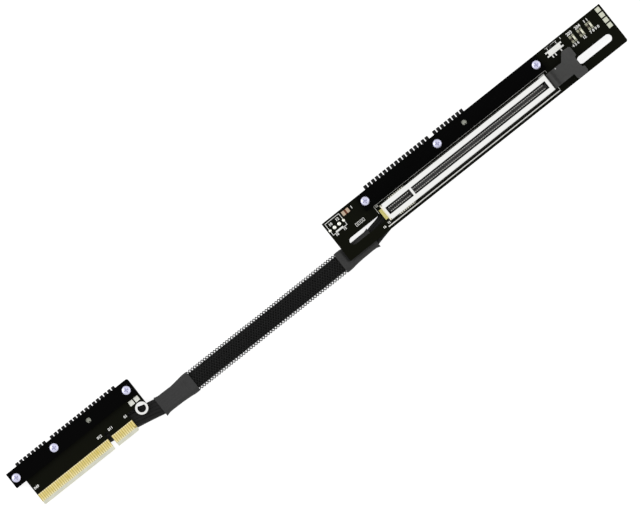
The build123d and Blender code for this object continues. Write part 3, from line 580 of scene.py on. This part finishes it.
# The shrunk tubes: soft grey tubing pulled tight over the bundle and the sleeve's end,
# with a flared mouth and the wires showing through as faint ridges.
tube_wall, tube_length = 0.35 * mm, 17.9 * mm
tube_sides, tube_rings = 96, 110
tight_width, loose_width = 8.7 * mm, 9.4 * mm    # on the bundle, and clear of it
ridge_height, dent_depth, dent_length = 0.045 * mm, 0.05 * mm, 1.9 * mm
tube_stations = (                        # from the mouth, width and height in mm
    (0, 9.9, 3.9), (0.8, 9.3, 3.85), (1.9, 8.75, 3.8), (3.4, 8.65, 3.75),
    (8.8, 8.65, 3.75), (11, 9.0, 3.8), (13.9, 9.6, 3.85), (15.2, 9.95, 4.55),
    (16.6, 10.0, 4.7), (17.9, 9.9, 4.7),
)


def tube_grid(mouth, side):
    """A closed wall: rings along X follow the widths and heights at the stations, out
    along the outer wall and back along the inner one; the outer wall rises by
    cos(2 pi y / column) where it is tight on the bundle, and is dented by slow sines."""
    stations = np.array(tube_stations).T * mm
    s = np.linspace(0, tube_length, tube_rings)
    width, height = (np.interp(s, stations[0], row) for row in stations[1:])
    turns = np.linspace(0, 1, tube_sides, endpoint=False)
    tight = np.clip((loose_width - width) / (loose_width - tight_width), 0, 1)[:, None]
    rings = []
    for wall, order in ((0.0, slice(None)), (tube_wall, slice(None, None, -1))):
        ovals = [oval(turns, w - 2 * wall, h - 2 * wall) for w, h in zip(width, height)]
        y, z, out_y, out_z = np.array(ovals).swapaxes(0, 1)
        ridge = ridge_height * np.cos(2 * math.pi * y / column_step) * (abs(out_z) > 0.5)
        dent = dent_depth * np.sin(s[:, None] / dent_length + 7 * turns)
        lift = ridge * tight + dent * np.sin(math.pi * s[:, None] / tube_length)
        lift = lift * (wall == 0)
        ring = np.stack([
            mouth + side * s[:, None] + 0 * y, cable_y + y + out_y * lift,
            height[:, None] / 2 + z + out_z * lift], axis=-1)
        rings.append(ring[order])
    grid = np.concatenate(rings)
    grid[..., 2] = np.maximum(grid[..., 2], 0)
    return grid


shrink_finish = finish(
    "shrunk_tubing", (55, 55, 55), shade=0.22, size=2.5 * mm, height=0.012 * mm,
    gloss=0.50, spread=0.12, Specular_IOR_Level=0.2,
)
for name, side in (("plug", 1), ("socket", -1)):
    grid = tube_grid(mouths[name], side)
    tube = piece(f"{name}_shrunk_tube", grid,
                 quads(*grid.shape[:2], turn_rows=True, turn_columns=True), shrink_finish)
    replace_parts(tube, f"{name}_shrink_tube")

# The card slot: a white moulded housing with painted cream light at its clip, painted black
# shade along its channels' walls and painted grey shade in their depth, with ribs that keep
# the contacts apart and are painted black shade on their outer parts.
housing_white, painted_clip_light, peg_grey = (254, 254, 252), (254, 246, 222), (96, 96, 92)
painted_wall_shadow, painted_depth_shade = (6, 6, 6), (168, 168, 168)
slot_low, slot_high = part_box("slot_housing")
slot_y, slot_left, slot_top = (slot_low.y + slot_high.y) / 2, slot_low.x, slot_high.z
channel_left, channel_right, slot_key = 35.925 * mm, 122.225 * mm, 49.175 * mm
channel_half, depth_half = 1.82 * mm, 1.3 * mm   # of the channel's mouth and its depth
peg_rings = ((35.05, 1.05, 0.26), (35.05, -5.95, 0.1))     # x, y and radius in mm
ring_half = 0.11 * mm


def within(tree, axis, middle, half, soft):
    """Mask that is 1 where the place's axis value is nearer to the middle than half."""
    off = reckon(tree, "SUBTRACT", along(tree, axis), middle)
    return under(tree, reckon(tree, "ABSOLUTE", off), half, soft)


def times(tree, *masks):
    """The product of masks."""
    found = masks[0]
    for mask in masks[1:]:
        found = reckon(tree, "MULTIPLY", found, mask)
    return found


def ring_mask(tree, x, y, radius, half):
    """Mask that is 1 on a ring about (x, y), half as wide on each side of its radius."""
    where = node(tree, "ShaderNodeTexCoord").outputs["Object"]
    flat = node(tree, "ShaderNodeVectorMath", {0: where, 1: (1, 1, 0)},
                operation="MULTIPLY").outputs[0]
    reach = node(tree, "ShaderNodeVectorMath", {0: flat, 1: (x, y, 0)},
                 operation="DISTANCE").outputs["Value"]
    off = reckon(tree, "SUBTRACT", reach, radius)
    return under(tree, reckon(tree, "ABSOLUTE", off), half, 0.2 * half)


slot_finish = finish(
    "white_moulding", housing_white, shade=0.05, size=4 * mm, height=0.01 * mm,
    gloss=0.34, spread=0.10, Specular_IOR_Level=0.4,
)
tree = slot_finish.node_tree
channel_mid = (channel_left + channel_right) / 2
channel_reach = (channel_right - channel_left) / 2
sunk = times(
    tree, within(tree, "Y", slot_y, channel_half, 0.01 * mm),
    below(tree, "Z", slot_top - 0.03 * mm, 0.02 * mm),
    within(tree, "X", channel_mid, channel_reach + 0.2 * mm, 0.01 * mm),
)
depth_mask = times(
    tree, within(tree, "Y", slot_y, depth_half, 0.05 * mm),
    within(tree, "X", channel_mid, channel_reach - 0.35 * mm, 0.05 * mm),
)
# painted light: a cream glow on the white at the clip's end
outside = blend(tree, below(tree, "X", slot_left + 0.6 * mm, 0.3 * mm), housing_white,
                painted_clip_light)
for x, y, radius in peg_rings:
    outside = blend(tree, ring_mask(tree, x * mm, y * mm, radius * mm, ring_half),
                    outside, peg_grey)
# painted shade in the channels: black along the walls, grey in the depth
inside = blend(tree, depth_mask, painted_wall_shadow, painted_depth_shade)
recolor(slot_finish, blend(tree, sunk, outside, inside))
dress(slot_finish, "slot_housing")


def blocks(low, high):
    """Boxes from arrays of lowest and highest corners: corner k takes the high value
    on each axis whose bit is set in k."""
    bits = (np.arange(8)[:, None] >> np.arange(3)) & 1
    points = low[:, None] * (1 - bits) + high[:, None] * bits
    faces = np.array([(0, 2, 3, 1), (4, 5, 7, 6), (0, 1, 5, 4), (2, 6, 7, 3), (0, 4, 6, 2),
                      (1, 3, 7, 5)])
    return points, faces


pin_pitch, key_to_pin, short_pins, long_pins = 1.0 * mm, 1.5 * mm, 11, 71
rib_half, rib_foot, rib_drop = 0.17 * mm, 7.55 * mm, 0.7 * mm
rib_inner, rib_lit, rib_outer = 0.62 * mm, 1.05 * mm, 1.66 * mm   # from the middle
rib_white, rib_shade = (208, 208, 206), (8, 8, 8)
pins = slot_key + np.concatenate([-key_to_pin - pin_pitch * np.arange(short_pins),
                                  key_to_pin + pin_pitch * np.arange(long_pins)])
rib_x = pins - pin_pitch / 2
rib_low, rib_high = [], []
for side in (-1, 1):
    y_low, y_high = sorted((slot_y + side * rib_inner, slot_y + side * rib_outer))
    rib_low.append(np.stack([
        rib_x - rib_half, 0 * rib_x + y_low, 0 * rib_x + rib_foot], axis=1))
    rib_high.append(np.stack([
        rib_x + rib_half, 0 * rib_x + y_high, 0 * rib_x + slot_top - rib_drop], axis=1))
points, faces = blocks(np.concatenate(rib_low), np.concatenate(rib_high))
rib_finish = finish(
    "shaded_moulding", rib_white, shade=0.08, size=2 * mm, height=0.01 * mm,
    gloss=0.40, spread=0.10, Specular_IOR_Level=0.1,
)
tree = rib_finish.node_tree
near_mask = within(tree, "Y", slot_y, rib_lit, 0.03 * mm)
recolor(rib_finish, blend(tree, near_mask, rib_shade, rib_white))
ribs = piece("slot_ribs", points, faces, rib_finish, copies=len(points), smooth=False)

# The contacts: stamped copper alloy, bright at the power pins' soldered feet, with painted
# shade on the feet further along, darker on the lower side, and on the springs, whose
# sprung tips stay bright where they catch the light between the ribs.
power_middle, power_half = 43.2 * mm, 4.3 * mm   # the power pins' feet, along X
foot_height, tip_half = 7.0 * mm, 1.08 * mm
bright_foot, painted_shade_foot, painted_deep_shade_foot = (242, 240, 222), (86, 85, 79), (44, 43, 39)
painted_spring_shade, tip_bright = (30, 30, 29), (214, 212, 204)
contact_finish = finish(
    "plated_contacts", (232, 226, 205), shade=0.12, size=0.5 * mm, height=0.004 * mm,
    gloss=0.32, spread=0.12, Metallic=0.5,
)
tree = contact_finish.node_tree
# painted shade: the feet beyond the power pins, darker still on the lower side
painted_feet_shade = blend(tree, below(tree, "Y", slot_y, 0.1 * mm), painted_shade_foot, painted_deep_shade_foot)
feet = blend(tree, within(tree, "X", power_middle, power_half, 0.2 * mm), painted_feet_shade, bright_foot)
# painted shade on the springs, with their tips left bright
tips = blend(tree, within(tree, "Y", slot_y, tip_half, 0.03 * mm), painted_spring_shade, tip_bright)
recolor(contact_finish, blend(tree, below(tree, "Z", foot_height, 0.2 * mm), tips, feet))
dress(contact_finish, "slot_contacts_inner", "slot_contacts_outer")
clip_finish = finish(
    "pale_brass", (213, 205, 136), shade=0.12, size=0.8 * mm, height=0.006 * mm,
    gloss=0.36, spread=0.12, Metallic=0.7,
)
dress(clip_finish, "slot_clip")

# The card latch: a dark grey moulding with soft corners that turns on a steel pin in
# the housing's tongue, with one small white inspection dot on its stem.
latch_edge = 0.45 * mm
dot_x, dot_y, dot_z = 129.3 * mm, 0.6 * mm, 11.8 * mm
dot_radius, dot_rise = 0.32 * mm, 0.12 * mm


def softened(name, source, body, material, width, segments=3):
    """A copy of a CAD node whose triangles are merged into flat faces, with its sharp
    edges rounded by a Bevel modifier."""
    shell = bmesh.new()
    shell.from_mesh(nodes[source].data)
    bmesh.ops.remove_doubles(shell, verts=shell.verts, dist=1e-6)
    bmesh.ops.dissolve_limit(shell, angle_limit=0.02, verts=shell.verts, edges=shell.edges)
    mesh = bpy.data.meshes.new(name)
    shell.to_mesh(mesh)
    shell.free()
    mesh.materials.clear()
    mesh.materials.append(material)
    mesh.shade_smooth()
    made = bpy.data.objects.new(name, mesh)
    bpy.context.scene.collection.objects.link(made)
    bevel = made.modifiers.new("soft_edges", "BEVEL")
    bevel.width, bevel.segments = width, segments
    bevel.limit_method, bevel.angle_limit = "ANGLE", math.radians(35)
    bevel.harden_normals = True
    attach(made, body)
    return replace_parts(made, source)


latch_finish = finish(
    "grey_moulding", (63, 63, 62), shade=0.16, size=1.2 * mm, height=0.02 * mm,
    gloss=0.46, spread=0.14, Specular_IOR_Level=0.25,
)
latch = softened("card_latch", "slot_latch", "latch", latch_finish, latch_edge)


def dome(x, y, z, radius, rise, sides=40):
    """A low dome's grid: the parabola rise * (1 - 0.8 reach^2) turned round, on a flat
    foot."""
    angle = np.linspace(0, 2 * math.pi, sides, endpoint=False)[None, :]
    reach = np.linspace(0, 1, 9)[:, None]
    height = rise * (1 - 0.8 * reach ** 2) + 0 * angle
    top = np.stack([x + radius * reach * np.cos(angle), y + radius * reach * np.sin(angle),
                    z + height], axis=-1)
    foot = top[-1:].copy()
    foot[..., 2] = z
    return np.concatenate([top, foot, np.broadcast_to([x, y, z], foot.shape)])


dot_finish = finish(
    "white_dot", (206, 206, 204), shade=0.10, size=0.5 * mm, height=0.004 * mm,
    gloss=0.5, spread=0.1, Specular_IOR_Level=0.2,
)
dot = dome(dot_x, dot_y, dot_z, dot_radius, dot_rise)
dot_piece = piece("latch_dot", dot, quads(*dot.shape[:2], turn_columns=True), dot_finish,
                  body="latch")

# The slide switch: a folded tinned shell over a black base, with a black slider that
# reaches out of its outer side.
shell_finish = finish(
    "tinned_sheet", (232, 232, 228), shade=0.10, size=1.0 * mm, height=0.004 * mm,
    gloss=0.30, spread=0.12, Metallic=0.8,
)
dress(shell_finish, "switch_shell", "switch_leads")
black_finish = finish(
    "black_moulding", (20, 20, 20), shade=0.2, size=0.8 * mm, height=0.006 * mm,
    gloss=0.42, spread=0.10, Specular_IOR_Level=0.3,
)
dress(black_finish, "switch_base", "switch_knob")

# The chips: three status lights of cast resin, each beside its glazed resistor, and a
# fired brown ceramic capacitor at the power header.
resin, stained_tin = (64, 54, 38), (164, 163, 134)
light_y, light_half = sum(corner.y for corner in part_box("status_leds")) / 2, 0.6 * mm
light_finish = finish(
    "cast_resin", resin, shade=0.3, size=0.3 * mm, height=0.004 * mm,
    gloss=0.25, spread=0.10, Specular_IOR_Level=0.5,
)
dress(light_finish, "status_leds")
lamp_finish = finish(
    "stained_tin_ends", stained_tin, shade=0.2, size=0.4 * mm, height=0.01 * mm,
    gloss=0.45, spread=0.12, Metallic=0.3,
)
tree = lamp_finish.node_tree
recolor(lamp_finish, blend(tree, within(tree, "Y", light_y, light_half, 0.05 * mm),
                           stained_tin, resin))
dress(lamp_finish, "status_led_ends")
glaze_finish = finish(
    "cream_glaze", (246, 246, 222), shade=0.10, size=0.4 * mm, height=0.004 * mm,
    gloss=0.32, spread=0.10, Specular_IOR_Level=0.4,
)
dress(glaze_finish, "led_resistors", "led_resistor_ends")
ceramic_finish = finish(
    "brown_ceramic", (98, 42, 4), shade=0.2, size=0.5 * mm, height=0.01 * mm,
    gloss=0.48, spread=0.12, Specular_IOR_Level=0.3,
)
dress(ceramic_finish, "input_capacitor")
copper_finish = finish(
    "tinned_copper_ends", (192, 172, 150), shade=0.15, size=0.5 * mm, height=0.01 * mm,
    gloss=0.42, spread=0.12, Metallic=0.4,
)
dress(copper_finish, "input_capacitor_ends")

# The header's solder: the power header isn't fitted, so each of its pads carries a low
# dome of bright tin, the two outer ones a little smaller.
header_pads = ((-3.65, 0.65), (-1.27, 0.8), (1.27, 0.8), (3.65, 0.65))  # along X, radius
solder_rise = 0.28 * mm
low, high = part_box("header_pads")
domes = np.stack([
    dome((low.x + high.x) / 2 + off * mm, (low.y + high.y) / 2, board_top, radius * mm,
         solder_rise)
    for off, radius in header_pads])
solder_finish = finish(
    "bright_solder", (236, 236, 226), shade=0.12, size=0.5 * mm, height=0.01 * mm,
    gloss=0.30, spread=0.14, Metallic=0.85,
)
solder = piece("header_solder", domes, quads(*domes.shape[1:3], turn_columns=True),
               solder_finish, copies=len(domes))
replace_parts(solder, "header_pads")

# The printing: white screen ink, laid on the boards as frames and bars round the parts
# and as plain numbers beside them, four of which count the card edge's contacts.
ink_thick, ink_spread = 0.02 * mm, 0.05 * mm
edge_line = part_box("socket_board")[0].y  # the board's lower edge, from which y counts
hairline, header_line = 0.16, 0.22       # how broad the frames' lines are
slot_marks = [                           # x low, x high, y low, y high in mm
    (32.1, 125.6, 1.15, 1.6), (32.2, 125.6, 11.97, 12.13), (32.2, 32.36, 8.2, 12.0),
    (125.45, 125.6, 1.2, 3.1), (125.45, 125.6, 10.7, 12.1), (121.3, 124.1, 10.75, 11.35),
]
switch_marks = [
    (131.0, 137.0, 19.15, 19.25), (131.75, 132.0, 17.9, 19.2), (136.4, 136.65, 17.9, 19.2),
]
header_bar, header_frame = (13.15, 16.95, 13.35, 13.9), (11.25, 18.9, 13.1, 19.15)
pad_frames, frame_half, frame_low, frame_high = (21.9, 23.1, 24.4, 25.6), 0.45, 9.75, 11.3
numbers = (                              # word, x, y from the edge line, size
    ("01", -106.0, 7.9, 1.6), ("011", -114.2, 7.9, 1.6), ("012", -120.1, 7.9, 1.6),
    ("049", -154.3, 7.9, 1.6), ("1", 24.8, 17.8, 1.9), ("12", 33.4, 11.4, 1.3),
    ("12", 33.3, 2.65, 1.3), ("16", 30.6, 2.25, 1.4), ("1", 139.1, 18.8, 1.3),
    ("10", 13.2, 17.5, 1.7), ("12", 16.8, 17.5, 1.7), ("10", 12.9, 12.35, 1.5),
    ("12", 17.0, 12.35, 1.5), ("203", 143.3, 18.0, 1.9), ("204", 147.8, 18.0, 1.9),
    ("1 1", 152.2, 17.95, 1.8), ("4 5 6", 142.8, 12.6, 1.6), ("12", 147.6, 12.6, 1.7),
    ("7 8 9 0", 153.0, 12.6, 1.7),
)


def bars(name, rectangles, material):
    """Printed bars from rows of (x low, x high, y low, y high), y from the edge line."""
    x_low, x_high, y_low, y_high = np.array(rectangles).T * mm
    low = np.stack([x_low, y_low + edge_line, 0 * x_low + board_top], axis=1)
    high = np.stack([x_high, y_high + edge_line, 0 * x_low + board_top + ink_thick], axis=1)
    points, faces = blocks(low, high)
    made = piece(name, points, faces, material, copies=len(points), smooth=False)
    return made


def frame_bars(x_low, x_high, y_low, y_high, line):
    """The four bars of a printed frame."""
    return [
        (x_low, x_high, y_low, y_low + line), (x_low, x_high, y_high - line, y_high),
        (x_low, x_low + line, y_low + line, y_high - line),
        (x_high - line, x_high, y_low + line, y_high - line),
    ]


ink_finish = finish(
    "white_screen_ink", (252, 252, 248), shade=0.12, size=0.5 * mm, height=0.004 * mm,
    gloss=0.55, spread=0.12, Specular_IOR_Level=0.2,
)
marks = slot_marks + [header_bar] + switch_marks + frame_bars(*header_frame, header_line)
for x in pad_frames:
    marks += frame_bars(x - frame_half, x + frame_half, frame_low, frame_high, hairline)
bars("printed_marks", marks, ink_finish)


def printed_number(word, x, y, size):
    """A generic number as flat ink: its outline raised by the ink's thickness."""
    outline = bpy.data.curves.new(f"number_{word}", "FONT")
    outline.body, outline.size = word, size * mm
    outline.align_x, outline.align_y = "CENTER", "CENTER"
    outline.extrude, outline.offset = ink_thick / 2, ink_spread
    outline.resolution_u = 3
    holder = bpy.data.objects.new(f"number_{word}", outline)
    mesh = bpy.data.meshes.new_from_object(holder)
    bpy.data.objects.remove(holder)
    points = np.array([v.co for v in mesh.vertices])
    points += (x * mm, y * mm + edge_line, board_top + ink_thick / 2)
    mesh.vertices.foreach_set("co", points.ravel())
    mesh.materials.clear()
    mesh.materials.append(ink_finish)
    name = f"number_{word.replace(' ', '_')}_at_{abs(round(x))}_{round(y)}"
    made = bpy.data.objects.new(name, mesh)
    bpy.context.scene.collection.objects.link(made)
    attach(made, "riser")
    return made


for word, x, y, size in numbers:
    printed_number(word, x, y, size)

# The studio: a pale floor that the camera sees as white but that keeps the shadow, two
# wide soft lamps and an even sky, and a camera straight above, turned as in the picture.
floor_reach, floor_grey, floor_glow = 3, (0.45, 0.45, 0.45, 1), 0.83
floor_corners = ((-1, -1), (1, -1), (1, 1), (-1, 1))
sky_white, seen_sky, dim_sky = (1, 1, 1, 1), 1.0, 0.55
view_width, view_x, view_y = 272.5 * mm, 1.645 * mm, 0.885 * mm
picture_turn = math.radians(-38.5)
lamps = (                                # name, place, power, side
    ("key_lamp", (-0.9, 0.7, 1.3), 10.0, 1.0), ("fill_lamp", (1.0, -0.5, 1.2), 5.0, 1.2),
)
floor_mesh = bpy.data.meshes.new("floor")
floor_mesh.from_pydata([(x * floor_reach, y * floor_reach, 0) for x, y in floor_corners],
                       [], [(0, 1, 2, 3)])
floor = bpy.data.objects.new("floor", floor_mesh)
bpy.context.scene.collection.objects.link(floor)


def seen_rays(tree):
    """Mask that is 1 for camera, glossy and transmission rays."""
    rays = node(tree, "ShaderNodeLightPath").outputs
    first = reckon(tree, "MAXIMUM", rays["Is Camera Ray"], rays["Is Glossy Ray"])
    return reckon(tree, "MAXIMUM", first, rays["Is Transmission Ray"])


floor_finish = bpy.data.materials.new("white_floor")
floor_finish.use_nodes = True
tree = floor_finish.node_tree
tree.nodes.clear()
lit = node(tree, "ShaderNodeBsdfDiffuse", {"Color": floor_grey}).outputs[0]
glow = reckon(tree, "MULTIPLY", seen_rays(tree), floor_glow)
own = node(tree, "ShaderNodeEmission", {"Strength": glow}).outputs[0]
both = node(tree, "ShaderNodeAddShader", {0: lit, 1: own}).outputs[0]
clear = node(tree, "ShaderNodeBsdfTransparent").outputs[0]
back = node(tree, "ShaderNodeNewGeometry").outputs["Backfacing"]
mixed = node(tree, "ShaderNodeMixShader", {0: back, 1: both, 2: clear}).outputs[0]
node(tree, "ShaderNodeOutputMaterial", {"Surface": mixed})
floor_mesh.materials.append(floor_finish)

sky = bpy.data.worlds.new("sky")
sky.use_nodes = True
tree = sky.node_tree
tree.nodes.clear()
seen, dim = (
    node(tree, "ShaderNodeBackground", {"Color": sky_white, "Strength": strong}).outputs[0]
    for strong in (seen_sky, dim_sky))
mixed = node(tree, "ShaderNodeMixShader", {0: seen_rays(tree), 1: dim, 2: seen}).outputs[0]
node(tree, "ShaderNodeOutputWorld", {"Surface": mixed})
bpy.context.scene.world = sky

for name, spot, power, size in lamps:
    lamp = bpy.data.lights.new(name, "AREA")
    lamp.shape, lamp.size, lamp.energy = "SQUARE", size, power
    holder = bpy.data.objects.new(name, lamp)
    holder.location = spot
    aim = -holder.location
    holder.rotation_euler = aim.to_track_quat("-Z", "Y").to_euler()
    bpy.context.scene.collection.objects.link(holder)

camera = bpy.data.cameras.new("camera")
camera.lens, camera.sensor_width = 1000, 36
camera.clip_end = 20
distance = view_width * camera.lens / camera.sensor_width
holder = bpy.data.objects.new("camera", camera)
holder.location = (view_x, view_y, board_top + distance)
holder.rotation_euler = (0, 0, picture_turn)
bpy.context.scene.collection.objects.link(holder)
bpy.context.scene.camera = holder
bpy.context.scene.view_settings.view_transform = "Standard"
